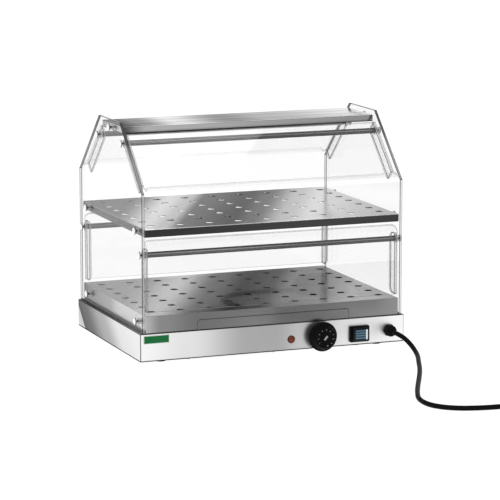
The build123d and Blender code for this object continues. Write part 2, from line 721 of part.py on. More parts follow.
base_parts()
shelf_parts()
frame_parts()
flap_parts()
heater_parts()
control_parts()
cord_parts()
print("case centre y", round(CASE_Y, 2), "rear reach", round(REAR_REACH, 2))
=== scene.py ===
import bmesh
import bpy
import json
from math import atan2, cos, pi, radians, sin, sqrt
from mathutils import Euler, Matrix, Vector

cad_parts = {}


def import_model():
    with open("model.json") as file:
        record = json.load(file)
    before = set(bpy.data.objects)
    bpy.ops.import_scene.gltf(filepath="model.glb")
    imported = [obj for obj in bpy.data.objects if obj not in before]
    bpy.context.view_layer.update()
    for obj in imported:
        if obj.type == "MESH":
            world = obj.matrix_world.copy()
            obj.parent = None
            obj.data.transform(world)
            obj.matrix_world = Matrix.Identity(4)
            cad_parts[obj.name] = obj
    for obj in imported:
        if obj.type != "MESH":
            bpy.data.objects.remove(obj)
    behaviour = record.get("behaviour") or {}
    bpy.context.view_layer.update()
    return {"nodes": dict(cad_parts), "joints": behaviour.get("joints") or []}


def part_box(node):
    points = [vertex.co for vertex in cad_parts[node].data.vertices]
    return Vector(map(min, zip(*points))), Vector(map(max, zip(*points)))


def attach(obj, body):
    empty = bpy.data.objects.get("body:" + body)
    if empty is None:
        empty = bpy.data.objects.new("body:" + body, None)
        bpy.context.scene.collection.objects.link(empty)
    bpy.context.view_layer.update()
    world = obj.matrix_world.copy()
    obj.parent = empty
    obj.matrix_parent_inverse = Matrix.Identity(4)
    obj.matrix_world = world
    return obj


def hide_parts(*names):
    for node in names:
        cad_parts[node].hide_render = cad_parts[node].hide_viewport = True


# Heated two-tier display case. Metres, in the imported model's frame: +Z up, -Y the control side.

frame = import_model()
JOINTS = {j["name"]: Vector(j["pos_m"]) for j in frame["joints"] if "pos_m" in j}


# ---------------------------------------------------------------- camera, floor and light

def camera():
    data = bpy.data.cameras.new("camera")
    data.lens = 200.59
    data.sensor_width = 36.0
    data.clip_end = 100.0
    shot = bpy.data.objects.new("camera", data)
    shot.location = (-1.7897, -4.6298, 1.0354)
    shot.rotation_euler = Euler((radians(79.996), 0, radians(-21.329)))
    bpy.context.scene.collection.objects.link(shot)
    bpy.context.scene.camera = shot


def world():
    back = bpy.data.worlds.new("studio")
    back.use_nodes = True
    tree = back.node_tree
    where = tree.nodes.new("ShaderNodeTexCoord")
    height = tree.nodes.new("ShaderNodeSeparateXYZ")
    ramp = tree.nodes.new("ShaderNodeValToRGB")
    tree.links.new(where.outputs["Generated"], height.inputs[0])
    tree.links.new(height.outputs["Z"], ramp.inputs["Fac"])
    tree.links.new(ramp.outputs["Color"], tree.nodes["Background"].inputs["Color"])
    stops = ramp.color_ramp.elements
    for at, grey in ((0.0, 1.0), (0.03, 0.95), (0.25, 0.95), (0.42, 0.45), (0.75, 0.5), (1.0, 1.0)):
        stop = stops[0] if at == 0.0 else stops[-1] if at == 1.0 else stops.new(at)
        stop.color = (grey, grey, grey, 1)
    scene = bpy.context.scene
    scene.world = back
    scene.view_settings.view_transform = "Standard"
    scene.cycles.max_bounces = 24
    scene.cycles.transparent_max_bounces = 32


def softbox(name, place, aim, size, power):
    data = bpy.data.lights.new(name, "AREA")
    data.shape = "RECTANGLE"
    data.size, data.size_y = size
    data.energy = power
    box = bpy.data.objects.new(name, data)
    box.location = place
    box.rotation_euler = (Vector(aim) - Vector(place)).to_track_quat("-Z", "Y").to_euler()
    bpy.context.scene.collection.objects.link(box)


# ---------------------------------------------------------------- node and mesh tools

class Finish:
    """A material's node tree and the few nodes that the finishes here are made of."""

    def __init__(self, name):
        self.material = bpy.data.materials.new(name)
        self.material.use_nodes = True
        self.tree = self.material.node_tree
        self.tree.nodes.clear()
        where = self.add("ShaderNodeTexCoord")
        self.place = where.outputs["Object"]
        self.x, self.y, self.z = self.split(self.place)
        self.nx, self.ny, self.nz = self.split(where.outputs["Normal"])

    def add(self, kind, sockets=None, **settings):
        node = self.tree.nodes.new(kind)
        for key, value in settings.items():
            setattr(node, key, value)
        for key, value in (sockets or {}).items():
            if isinstance(value, bpy.types.NodeSocket):
                self.tree.links.new(value, node.inputs[key])
            else:
                node.inputs[key].default_value = value
        return node

    def split(self, vector):
        node = self.add("ShaderNodeSeparateXYZ", {"Vector": vector})
        return node.outputs["X"], node.outputs["Y"], node.outputs["Z"]

    def math(self, operation, a, b=0.0):
        return self.add("ShaderNodeMath", {0: a, 1: b}, operation=operation).outputs[0]

    def mix(self, share, a, b):
        node = self.add("ShaderNodeMix", {"Factor": share}, data_type="RGBA")
        for socket, value in ((node.inputs[6], a), (node.inputs[7], b)):
            if isinstance(value, bpy.types.NodeSocket):
                self.tree.links.new(value, socket)
            else:
                socket.default_value = (*value, 1)
        return node.outputs[2]

    def times(self, share, a, b):
        """One colour multiplied by a share of another."""
        sockets = {"Factor": share, 6: a, 7: b}
        return self.add("ShaderNodeMix", sockets, data_type="RGBA", blend_type="MULTIPLY").outputs[2]

    def tones(self, along, stops, smooth=True):
        """Colours at places along a coordinate, from (place, grey or colour) pairs."""
        low, high = stops[0][0], stops[-1][0]
        share = self.add("ShaderNodeMapRange", {"Value": along, "From Min": low, "From Max": high})
        ramp = self.add("ShaderNodeValToRGB", {"Fac": share.outputs["Result"]})
        bar = ramp.color_ramp
        bar.interpolation = "EASE" if smooth else "LINEAR"
        for place, colour in stops:
            at = (place - low) / (high - low)
            if place in (low, high):
                stop = bar.elements[0 if place == low else -1]
            else:
                stop = bar.elements.new(at)
            colour = colour if isinstance(colour, tuple) else (colour,) * 3
            stop.color = (*colour, 1)
        return ramp.outputs["Color"]

    def noise(self, scale, stretch=(1, 1, 1), detail=3.0):
        spread = self.add("ShaderNodeMapping", {"Vector": self.place, "Scale": stretch})
        node = self.add("ShaderNodeTexNoise", {
            "Vector": spread.outputs["Vector"], "Scale": scale, "Detail": detail})
        return node.outputs["Fac"]

    def between(self, value, low, high):
        """A 0 to 1 value spread over low to high."""
        return self.add("ShaderNodeMapRange", {
            "Value": value, "To Min": low, "To Max": high}).outputs["Result"]

    def over(self, value, limit, soft=0.02):
        """0 below a limit and 1 above it."""
        return self.add("ShaderNodeMapRange", {
            "Value": value, "From Min": limit - soft, "From Max": limit + soft}).outputs["Result"]

    def bump(self, height, depth, strength=0.5):
        return self.add("ShaderNodeBump", {
            "Height": height, "Distance": depth, "Strength": strength}).outputs["Normal"]

    def shade(self, color, roughness, metallic=0.0, normal=None, **more):
        sockets = {"Metallic": metallic, "Roughness": roughness}
        sockets["Base Color"] = color if isinstance(color, bpy.types.NodeSocket) else (*color, 1)
        if normal is not None:
            sockets["Normal"] = normal
        sockets.update({key.replace("_", " "): value for key, value in more.items()})
        return self.add("ShaderNodeBsdfPrincipled", sockets).outputs["BSDF"]

    def done(self, shader):
        out = self.add("ShaderNodeOutputMaterial")
        self.tree.links.new(shader, out.inputs["Surface"])
        return self.material


def dress(material, *nodes):
    """Gives CAD nodes a material."""
    for name in nodes:
        slots = frame["nodes"][name].data.materials
        if len(slots) == 0:
            slots.append(material)
        for i in range(len(slots)):
            slots[i] = material


def piece(name, mesh, materials, body, slot, *nodes):
    """Puts a mesh or curve in the scene, riding on a body and standing for CAD nodes."""
    thing = bpy.data.objects.new(name, mesh)
    bpy.context.scene.collection.objects.link(thing)
    for material in materials:
        mesh.materials.append(material)
    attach(thing, body)
    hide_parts(*nodes)
    return thing


def mesh_of(name, points, faces, indices=None, smooth=False):
    mesh = bpy.data.meshes.new(name)
    mesh.from_pydata([tuple(p) for p in points], [], faces)
    if indices:
        mesh.polygons.foreach_set("material_index", indices)
    if smooth:
        mesh.polygons.foreach_set("use_smooth", [True] * len(mesh.polygons))
    tidy = bmesh.new()
    tidy.from_mesh(mesh)
    bmesh.ops.remove_doubles(tidy, verts=tidy.verts, dist=1e-7)
    bmesh.ops.recalc_face_normals(tidy, faces=tidy.faces)
    tidy.to_mesh(mesh)
    tidy.free()
    return mesh


def soften(thing, width, segments=2, material=-1, angle=40):
    """Rounds a piece's sharp edges."""
    bevel = thing.modifiers.new("edges", "BEVEL")
    bevel.width = width
    bevel.segments = segments
    bevel.limit_method = "ANGLE"
    bevel.angle_limit = radians(angle)
    bevel.material = material
    bevel.harden_normals = False
    return thing


def lathe(profile, steps, at, turn, flutes=0, depth=0.0, between=(0, 0)):
    """Points and faces of a turned shape. The profile is (radius, height) pairs, and its height
    runs along the local +Z that turn takes to its place. Flutes cut a wavy edge into the rows
    from between[0] to between[1]."""
    points, faces = [], []
    for row, (radius, height) in enumerate(profile):
        cut = depth if flutes and between[0] <= row <= between[1] else 0.0
        for i in range(steps):
            angle = 2 * pi * i / steps
            r = radius - cut * (0.5 + 0.5 * cos(flutes * angle))
            points.append(at + turn @ Vector((r * cos(angle), r * sin(angle), height)))
    for row in range(len(profile) - 1):
        a, b = row * steps, (row + 1) * steps
        faces += [(a + i, a + (i + 1) % steps, b + (i + 1) % steps, b + i) for i in range(steps)]
    faces.append(tuple(reversed(range(steps))))
    last = (len(profile) - 1) * steps
    faces.append(tuple(range(last, last + steps)))
    return points, faces


def arc(centre, radius, start, end, steps):
    """Points on an arc, in degrees."""
    angles = [radians(start + (end - start) * i / steps) for i in range(steps + 1)]
    return [(centre[0] + radius * cos(a), centre[1] + radius * sin(a)) for a in angles]


TO_FRONT = Matrix.Rotation(pi / 2, 3, "X")        # local +Z to -Y
TO_BACK = Matrix.Rotation(-pi / 2, 3, "X")        # local +Z to +Y
TO_LEFT = Matrix.Rotation(-pi / 2, 3, "Y")        # local +Z to -X
TO_RIGHT = Matrix.Rotation(pi / 2, 3, "Y")        # local +Z to +X


# ---------------------------------------------------------------- power cord

CORD_R = 0.00425
CORD_DOWN = 0.00435           # height of the cord's middle where it lies on the table
COIL_CENTRE = (0.292, -0.6355)
COIL_MID = 0.051
COIL_DEGREES = 1170
CORD_ROUTE = [
    (0.2205, -0.1850, 0.0275),
    (0.2215, -0.2010, 0.027),
    (0.2265, -0.2210, 0.0228),
    (0.230, -0.2415, 0.014),
    (0.229, -0.2625, 0.0066),
    (0.2205, -0.2905, CORD_DOWN),
    (0.205, -0.3265, CORD_DOWN),
    (0.181, -0.3845, CORD_DOWN),
    (0.153, -0.4425, CORD_DOWN),
    (0.124, -0.4995, CORD_DOWN),
    (0.098, -0.5535, CORD_DOWN),
    (0.081, -0.5975, CORD_DOWN),
    (0.082, -0.6425, CORD_DOWN),
    (0.111, -0.6745, CORD_DOWN),
    (0.156, -0.6875, CORD_DOWN),
    (0.208, -0.6895, CORD_DOWN),
    (0.252, -0.6875, CORD_DOWN),
]
PLUG_ROUTE = [
    (0.3432, -0.6185, 0.0295),
    (0.3436, -0.6025, 0.0245),
    (0.344, -0.5875, 0.0185),
    (0.344, -0.5725, 0.0185),
]


def coil_route():
    """The coiled length: turns that lie on each other, up to where the cord leaves for its plug."""
    steps = COIL_DEGREES // 20
    route = []
    for i in range(steps + 1):
        degrees = -90 + 20 * i
        rise = 2 * CORD_R * 20 * i / 360
        x = COIL_CENTRE[0] + COIL_MID * cos(radians(degrees))
        y = COIL_CENTRE[1] + COIL_MID * sin(radians(degrees))
        route.append((x, y, CORD_DOWN + rise))
    return route


def cord_curve():
    route = CORD_ROUTE + coil_route() + PLUG_ROUTE
    curve = bpy.data.curves.new("power_cord", "CURVE")
    curve.dimensions = "3D"
    curve.bevel_depth = CORD_R
    curve.bevel_resolution = 5
    curve.resolution_u = 8
    spline = curve.splines.new("NURBS")
    spline.points.add(len(route) - 1)
    for point, place in zip(spline.points, route):
        point.co = (*place, 1)
    spline.order_u = 3
    spline.use_endpoint_u = True
    return curve


# ---------------------------------------------------------------- finishes

def steel(name, front, side, top, roughness=0.22, painted_edge_lines=(), lean=0.0):
    """Stainless sheet with painted reflections. Its tone runs along each face and stands in for the room's
    light and dark that polished sheet takes. Front and back faces use the tones along X, end faces along Y,
    and level faces both ways."""
    f = Finish(name)
    # Painted reflection: each face's grey comes from the tone tables, by place along the face.
    tone = f.tones(f.x, front)
    across = f.math("SUBTRACT", f.y, f.math("MULTIPLY", f.z, lean))
    tone = f.mix(f.over(f.math("ABSOLUTE", f.nx), 0.6), tone, f.tones(across, side))
    tone = f.mix(f.over(f.math("ABSOLUTE", f.nz), 0.6), tone, top(f))
    upright = f.math("LESS_THAN", f.math("ABSOLUTE", f.nz), 0.6)
    # Painted shade and highlight lines: a flat grey along each given height on upright faces.
    for height, thick, grey in painted_edge_lines:
        near = f.math("LESS_THAN", f.math("ABSOLUTE", f.math("SUBTRACT", f.z, height)), thick)
        tone = f.mix(f.math("MULTIPLY", near, upright), tone, (grey,) * 3)
    # Painted dark reflection on the rounded upright corners, where the sheet turns from front to end.
    corner = f.over(f.math("ABSOLUTE", f.math("MULTIPLY", f.nx, f.ny)), 0.3, 0.15)
    tone = f.mix(corner, tone, (0.05, 0.05, 0.05))
    grain = f.noise(6.0, (4, 220, 220), 4.0)
    cloud = f.noise(9.0, (1, 1, 1), 2.0)
    shine = f.math("ADD", f.between(grain, -0.04, 0.04), f.between(cloud, roughness - 0.05, roughness + 0.05))
    tone = f.mix(f.between(grain, 0.0, 0.10), tone, (0.30, 0.30, 0.31))
    # The painted reflection tone also tints the grazing reflection and darkens it.
    return f.done(f.shade(tone, shine, 1.0, f.bump(grain, 0.00004, 0.35), Specular_Tint=tone))


def metal(name, color, roughness, scratch=0.1):
    f = Finish(name)
    fine = f.noise(900.0, (1, 1, 1), 4.0)
    cloud = f.noise(60.0, (1, 1, 1), 2.0)
    tone = f.mix(f.between(cloud, 0.0, 0.5), color, tuple(c * 0.75 for c in color))
    shine = f.between(fine, roughness - scratch / 2, roughness + scratch / 2)
    return f.done(f.shade(tone, shine, 1.0, f.bump(fine, 0.00002, 0.3)))


def domed_chrome(name):
    """Painted highlight on the crown of a screw's head and painted shade round its rim."""
    f = Finish(name)
    fine = f.noise(1200.0, (1, 1, 1), 3.0)
    crown = f.math("ABSOLUTE", f.nx)
    # Painted highlight and shade by how squarely the face looks sideways. The tone also tints its reflection.
    tone = f.tones(crown, [(0.0, 0.02), (0.3, 0.06), (0.5, 0.5), (0.62, 0.95), (1.0, 0.97)])
    shine = f.between(fine, 0.35, 0.45)
    return f.done(f.shade(tone, shine, 0.35, f.bump(fine, 0.00001), Specular_Tint=tone))


def rod_steel(name):
    """Polished bar with painted reflection: dark, with one thin bright painted highlight line along its upper
    front.
    """
    f = Finish(name)
    # Painted highlight and shade round the bar by its normal, times painted reflection tones along its
    # length.
    around = f.tones(f.nz, [
        (-1.0, 0.02), (-0.72, 0.03), (-0.5, 0.16), (-0.05, 0.10), (0.12, 0.08), (0.28, 0.62),
        (0.42, 0.9), (0.55, 0.12), (0.78, 0.05), (1.0, 0.25)])
    length = f.tones(f.x, [(-0.24, 0.5), (-0.1, 0.7), (0.05, 0.35), (0.24, 0.6)])
    tone = f.times(0.8, around, length)
    grain = f.noise(30.0, (1, 40, 40), 3.0)
    return f.done(f.shade(tone, f.between(grain, 0.12, 0.3), 0.9, f.bump(grain, 0.00002)))


def clear(name, tint, gloss, cloudiness=0.0):
    """Clear sheet seen through its faces: a faint tint and a mirror gloss that grows aslant."""
    f = Finish(name)
    smear = f.noise(14.0, (1, 1, 1), 3.0)
    through = f.add("ShaderNodeBsdfTransparent", {
        "Color": f.mix(f.between(smear, 0.0, 0.5), tint, tuple(c * 0.99 for c in tint))}).outputs[0]
    mirror = f.add("ShaderNodeBsdfGlossy", {
        "Color": (0.98, 0.98, 0.98, 1), "Roughness": f.between(smear, 0.01, 0.05)}).outputs[0]
    slant = f.math("POWER", f.add("ShaderNodeLayerWeight", {"Blend": 0.5}).outputs["Facing"], 5.0)
    share = f.math("MULTIPLY", f.between(slant, 0.04, 1.0), gloss)
    sheet = f.add("ShaderNodeMixShader", {0: share, 1: through, 2: mirror}).outputs[0]
    if not cloudiness:
        return f.done(sheet)
    haze = f.shade((0.8, 0.8, 0.8), 0.4)
    return f.done(f.add("ShaderNodeMixShader", {0: cloudiness, 1: sheet, 2: haze}).outputs[0])


def cut_edge(name, grey, solid, slanting=None):
    """The polished cut edge of clear sheet, painted with the light and dark it gathers along its length. Its
    slanting stretches have painted tones of their own by height."""
    f = Finish(name)
    # Painted light and shade: streaks of lighter and darker grey along the edge.
    streak = f.noise(25.0, (1, 1, 1), 3.0)
    tone = f.mix(f.between(streak, 0.0, 1.0), (grey * 0.75,) * 3, (min(1.0, grey * 1.3),) * 3)
    if slanting:
        both = f.math("MULTIPLY", f.math("ABSOLUTE", f.ny), f.math("ABSOLUTE", f.nz))
        slants = f.over(both, 0.3, 0.1)
        tone = f.mix(slants, tone, f.tones(f.z, slanting, smooth=False))
        solid = f.between(slants, solid, 0.92)
    body = f.shade(tone, 0.3, Specular_IOR_Level=0.2)
    through = f.add("ShaderNodeBsdfTransparent", {"Color": (0.9, 0.9, 0.9, 1)}).outputs[0]
    return f.done(f.add("ShaderNodeMixShader", {0: solid, 1: through, 2: body}).outputs[0])


def plastic(name, color, roughness, bumps=0.00003, scale=1400.0, coat=0.0, gleam=0.025):
    f = Finish(name)
    fine = f.noise(scale, (1, 1, 1), 3.0)
    cloud = f.noise(70.0, (1, 1, 1), 2.0)
    tone = f.mix(f.between(cloud, 0.0, 0.5), color, tuple(min(1.0, c * 1.5 + 0.004) for c in color))
    shine = f.between(fine, roughness - 0.05, roughness + 0.06)
    normal = f.bump(fine, bumps, 0.4)
    return f.done(f.shade(tone, shine, 0.0, normal, Coat_Weight=coat, Specular_IOR_Level=gleam))


def lens(name):
    """Amber moulded lens, ribbed inside."""
    f = Finish(name)
    ribs = f.add("ShaderNodeTexWave", {
        "Vector": f.place, "Scale": 260.0, "Distortion": 0.6}, bands_direction="Z").outputs["Fac"]
    tone = f.mix(ribs, (0.21, 0.036, 0.005), (0.06, 0.010, 0.002))
    return f.done(f.shade(tone, 0.15, 0.0, f.bump(ribs, 0.0001, 0.3), Specular_IOR_Level=0.3))


def window(name, middle):
    """The splash cover: a clear moulding whose front shows painted reflections as blue-grey bands and a
    painted highlight at its bright right end.
    """
    f = Finish(name)
    # Painted reflection: blue-grey bands for the cover's front.
    wave = f.add("ShaderNodeTexWave", {
        "Vector": f.place, "Scale": 72.0, "Distortion": 0.8, "Detail": 1.0}, bands_direction="Z")
    stripes = f.mix(wave.outputs["Fac"], (0.012, 0.035, 0.05), (0.12, 0.22, 0.28))
    across = f.math("SUBTRACT", f.x, middle.x)
    up = f.math("ABSOLUTE", f.math("SUBTRACT", f.z, middle.z))
    pane = f.math("SUBTRACT", f.over(across, -0.0112, 0.0010), f.over(across, 0.0088, 0.0004))
    # Painted highlight: a pale band at the pane's right end.
    glint = f.math("SUBTRACT", f.over(across, 0.0088, 0.0004), f.over(across, 0.0120, 0.0004))
    inside = f.math("SUBTRACT", 1.0, f.over(up, 0.0088, 0.0008))
    tone = f.mix(f.math("MULTIPLY", pane, inside), (0.004, 0.005, 0.006), stripes)
    tone = f.mix(f.math("MULTIPLY", glint, inside), tone, (0.86, 0.9, 0.93))
    body = f.shade(tone, 0.10, Specular_IOR_Level=0.15)
    through = f.add("ShaderNodeBsdfTransparent", {"Color": (0.75, 0.8, 0.84, 1)}).outputs[0]
    return f.done(f.add("ShaderNodeMixShader", {0: 0.92, 1: through, 2: body}).outputs[0])


def enamel(name, base, line, low, high):
    """Enamel plate with a thin pale line inside its border."""
    f = Finish(name)
    fine = f.noise(700.0, (1, 1, 1), 3.0)
    edge = None
    for value, a, b in ((f.x, low.x, high.x), (f.z, low.z, high.z)):
        from_middle = f.math("ABSOLUTE", f.math("SUBTRACT", value, (a + b) / 2))
        off = f.math("SUBTRACT", from_middle, (b - a) / 2 - 0.0009)
        outside = f.math("GREATER_THAN", off, 0.0)
        edge = outside if edge is None else f.math("MAXIMUM", edge, outside)
    tone = f.mix(edge, f.mix(f.between(fine, 0.2, 0.8), base, tuple(c * 1.25 for c in base)), line)
    shine = f.between(fine, 0.18, 0.3)
    return f.done(f.shade(tone, shine, 0.0, f.bump(fine, 0.00002), Specular_IOR_Level=0.15))


def wool(name):
    f = Finish(name)
    tuft = f.noise(160.0, (1, 1, 3), 8.0)
    tone = f.mix(tuft, (0.42, 0.36, 0.22), (0.72, 0.66, 0.48))
    return f.done(f.shade(tone, 0.95, 0.0, f.bump(tuft, 0.002, 0.8), Sheen_Weight=0.3))


def floor_paint(name):
    f = Finish(name)
    fine = f.noise(300.0, (1, 1, 1), 2.0)
    tone = f.mix(fine, (0.14, 0.14, 0.14), (0.16, 0.16, 0.16))
    glow = {"Emission_Color": (1, 1, 1, 1), "Emission_Strength": 0.95}
    return f.done(f.shade(tone, 0.9, Specular_IOR_Level=0.0, **glow))


def level(stops, fade):
    """Painted reflection tones of a level face along X, shifted by fade for each metre towards the back."""
    def build(f):
        slanted = f.math("ADD", f.x, f.math("MULTIPLY", f.y, fade))
        return f.tones(slanted, stops)
    return build


def cover_tones(f):
    """The cover's painted reflection: broad tones along it and finer bands across it, standing in for the
    room reflected in its rolled sheet.
    """
    along = f.tones(f.x, COVER_ALONG)
    across = f.tones(f.y, COVER_ACROSS)
    return f.times(0.5, along, across)


SLANT = -0.526                # of the painted light and dark reflection bands across the shelves
# Painted reflections: greys of the steel faces by place along each face. They stand in for the room's light
# and dark in the polished sheet.
BASE_FRONT = [(-0.25, 0.9), (-0.16, 0.75), (-0.05, 0.4), (0.0, 0.4), (0.06, 0.6), (0.16, 0.9), (0.25, 0.95)]
BASE_SIDE = [(-0.2, 0.9), (-0.1, 0.85), (0.0, 0.55), (0.1, 0.3), (0.135, 0.25), (0.137, 0.7), (0.2, 0.85)]
SHELF_TOP = [(-0.33, 0.3), (-0.24, 0.35), (-0.16, 0.9), (-0.12, 0.75), (-0.09, 0.4), (0.0, 0.3), (0.04, 0.4),
             (0.1, 0.75), (0.15, 0.9), (0.33, 0.7)]
LOW_TOP = [(-0.33, 0.45), (-0.24, 0.5), (-0.14, 0.8), (-0.06, 0.35), (0.0, 0.2), (0.05, 0.25), (0.1, 0.45),
           (0.25, 0.7), (0.33, 0.6)]
LIP_DARK = [(-0.24, 0.02), (0.1, 0.04), (0.24, 0.03)]
LIP_SIDE = [(-0.17, 0.25), (0.18, 0.3)]
LOW_LIP = [(-0.24, 0.4), (-0.21, 0.22), (-0.14, 0.14), (-0.02, 0.2), (0.02, 0.15), (0.24, 0.25)]
LOW_SIDE = [(-0.16, 0.8), (-0.02, 0.75), (0.04, 0.5), (0.19, 0.33)]
COVER_LIP = [(-0.24, 0.05), (-0.19, 0.4), (0.24, 0.25)]
COVER_ALONG = [(-0.24, 0.15), (-0.19, 0.5), (-0.13, 1.0), (-0.03, 0.5), (0.05, 0.7), (0.24, 1.0)]
COVER_ACROSS = [(-0.04, 0.5), (-0.03, 0.9), (-0.005, 0.65), (0.0, 1.0), (0.03, 0.75), (0.045, 1.0),
                (0.075, 0.6)]
# Painted light and shade on the side panels' slanting cut edges, by height.
PANEL_SLANT = [(0.29, 0.25), (0.35, 0.22), (0.375, 0.02), (0.41, 0.01)]


def finishes():
    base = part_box("base_shell")
    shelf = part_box("upper_shelf")[1].z
    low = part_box("lower_shelf")
    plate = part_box("badge_plate")
    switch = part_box("switch_frame")
    return {
        # The height lists are painted edge lines: dark shade lines at the base's top and bottom edges, a
        # light highlight line at the upper shelf's top edge, a dark and a lighter line at the lower shelf's
        # bottom and top edges, and dark lines at the tray front's top and the cover's bottom.
        "base": steel("base_steel", BASE_FRONT, BASE_SIDE, level(LOW_TOP, SLANT), 0.34,
                      [(base[1].z, 0.0011, 0.01), (base[0].z, 0.0018, 0.01)], 1.1),
        "upper": steel("shelf_steel", LIP_DARK, LIP_SIDE, level(SHELF_TOP, SLANT), 0.2,
                       [(shelf, 0.0012, 0.7)]),
        "lower": steel("tray_steel", LOW_LIP, LOW_SIDE, level(LOW_TOP, SLANT), 0.2,
                       [(low[0].z, 0.001, 0.03), (low[1].z, 0.0008, 0.5)]),
        "front": steel("tray_front_steel", LOW_LIP, LOW_SIDE, level(LOW_TOP, 0.0), 0.2,
                       [(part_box("water_tray_front")[1].z, 0.0007, 0.05)]),
        "pan": steel("pan_steel", LOW_LIP, LOW_SIDE, level(LOW_TOP, 0.1), 0.3),
        "cover": steel("cover_steel", COVER_LIP, LOW_SIDE, cover_tones, 0.14,
                       [(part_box("top_cover")[0].z, 0.0012, 0.01)]),
        "rod": rod_steel("rod_painted_highlight"),
        "zinc": metal("zinc_plate", (0.62, 0.62, 0.60), 0.35, 0.2),
        "chrome": metal("chrome_plate", (0.82, 0.83, 0.84), 0.10, 0.06),
        "screw": domed_chrome("screw_chrome"),
        "copper": metal("copper_tube", (0.72, 0.33, 0.19), 0.3),
        "element": metal("element_sheath", (0.23, 0.21, 0.19), 0.45, 0.2),
        "face": clear("clear_face", (0.968, 0.968, 0.969), 0.5),
        # Painted light and shade on the clear sheets' grey cut edges.
        "edge": cut_edge("clear_edge", 0.55, 0.45),
        "panel_edge": cut_edge("panel_edge", 0.55, 0.45, PANEL_SLANT),
        # Painted shade: a near-black line on the clear sheets' rounded edges.
        "line": cut_edge("clear_bevel", 0.012, 0.96),
        "nylon": clear("nylon", (0.86, 0.87, 0.88), 0.8, 0.35),
        "rubber": plastic("black_rubber", (0.008, 0.008, 0.008), 0.6, 0.00006, 1100.0),
        "cord": plastic("cord_rubber", (0.004, 0.004, 0.0045), 0.42, 0.00004, 900.0),
        "black": plastic("black_moulding", (0.004, 0.004, 0.0045), 0.45, 0.00004),
        "gloss": plastic("gloss_moulding", (0.004, 0.005, 0.006), 0.14, 0.00001, 500.0, 0.12),
        "white": plastic("white_print", (0.30, 0.30, 0.29), 0.5),
        "ceramic": plastic("thermostat_case", (0.80, 0.78, 0.72), 0.45),
        "sheath": plastic("lead_sheath", (0.55, 0.52, 0.46), 0.5),
        "amber": lens("amber_lens"),
        "window": window("splash_cover", (switch[0] + switch[1]) / 2),
        "badge": enamel("green_enamel", (0.004, 0.115, 0.03), (0.55, 0.62, 0.55), *plate),
        "wool": wool("mineral_wool"),
    }


def dress_case(m):
    dress(m["base"], "base_shell", "base_bottom_plate")
    dress(m["upper"], "upper_shelf")
    dress(m["lower"], "lower_shelf")
    dress(m["front"], "water_tray_front")
    dress(m["pan"], "water_tray_pan", "water_tray_rails")
    dress(m["cover"], "top_cover")
    dress(m["rod"], "rod_front_upper", "rod_rear_upper", "rod_front_lower", "rod_rear_lower")
    dress(m["zinc"], "heat_shield", "element_posts", "foot_nuts", "panel_nuts", "thermostat_shaft",
          "earth_stud", "gland_locknut", "switch_pin", "foot_screws", "bottom_screws")
    dress(m["element"], "heating_element")
    dress(m["wool"], "insulation_mat")
    dress(m["copper"], "thermostat_bulb")
    dress(m["ceramic"], "thermostat_body", "terminal_block")
    dress(m["sheath"], "internal_leads")
    dress(m["nylon"], "panel_washers", "flap_spacers")
    dress(m["black"], "switch_body", "pilot_body", "gland_body")
    dress(m["gloss"], "switch_frame", "switch_rocker")
    dress(m["window"], "switch_cover")
    dress(m["badge"], "badge_plate")


# ---------------------------------------------------------------- clear plates

CLEAR = ("face", "edge", "line")


def plate_mesh(name, outline, x0, x1):
    """A flat plate from an outline of (y, z) points, as thick as x0 to x1."""
    count = len(outline)
    points = [(x0, y, z) for y, z in outline] + [(x1, y, z) for y, z in outline]
    faces = [tuple(range(count)), tuple(range(2 * count - 1, count - 1, -1))]
    faces += [(i, (i + 1) % count, count + (i + 1) % count, count + i) for i in range(count)]
    return mesh_of(name, points, faces, [0, 0] + [1] * count)


def clear_plate(m, name, outline, x0, x1, body, *nodes, kinds=CLEAR):
    mesh = plate_mesh(name, outline, x0, x1)
    thing = piece(name, mesh, [m[k] for k in kinds], body, "clear_acrylic", *nodes)
    return soften(thing, 0.0009, 2, 2)


def clear_sheet(m, mesh, body):
    name = body + "_sheet_clear"
    thing = piece(name, mesh, [m[k] for k in CLEAR], body, "clear_acrylic", body + "_sheet")
    return soften(thing, 0.0007, 2, 2)


def panels(m):
    low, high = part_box("side_panel_right")
    knee = 0.2985
    roof = 0.058
    middle = (low.y + high.y) / 2
    outline = [(low.y, low.z), (low.y, knee), (middle - roof, high.z), (middle + roof, high.z),
               (high.y, knee), (high.y, low.z)]
    kinds = ("face", "panel_edge", "line")
    clear_plate(m, "panel_right", outline, low.x, high.x, "case", "side_panel_right", kinds=kinds)
    clear_plate(m, "panel_left", outline, -high.x, -low.x, "case", "side_panel_left", kinds=kinds)


def rounded_path(points, radii):
    """Close points along straight runs joined by arcs, as (y, z) pairs."""
    path = [points[0]]
    for before, corner, after, radius in zip(points, points[1:], points[2:], radii):
        a = Vector(before) - Vector(corner)
        b = Vector(after) - Vector(corner)
        half = a.angle(b) / 2
        reach = radius / sin(half) * cos(half)
        start = Vector(corner) + a.normalized() * reach
        end = Vector(corner) + b.normalized() * reach
        steps = 8
        for i in range(steps + 1):
            t = i / steps
            weight = 2 * t * (1 - t) * sin(half) / (t * t + (1 - t) ** 2 + 2 * t * (1 - t) * sin(half))
            rest = 1 - weight
            path.append(tuple(Vector(corner) * weight + rest * (
                start * (1 - t) ** 2 + end * t * t) / ((1 - t) ** 2 + t * t)))
    path.append(points[-1])
    return path


def fine_path(path, step=0.0015):
    fine = [Vector(path[0])]
    for a, b in zip(path, path[1:]):
        run = Vector(b) - Vector(a)
        parts = max(1, round(run.length / step))
        fine += [Vector(a) + run * (i + 1) / parts for i in range(parts)]
    return fine


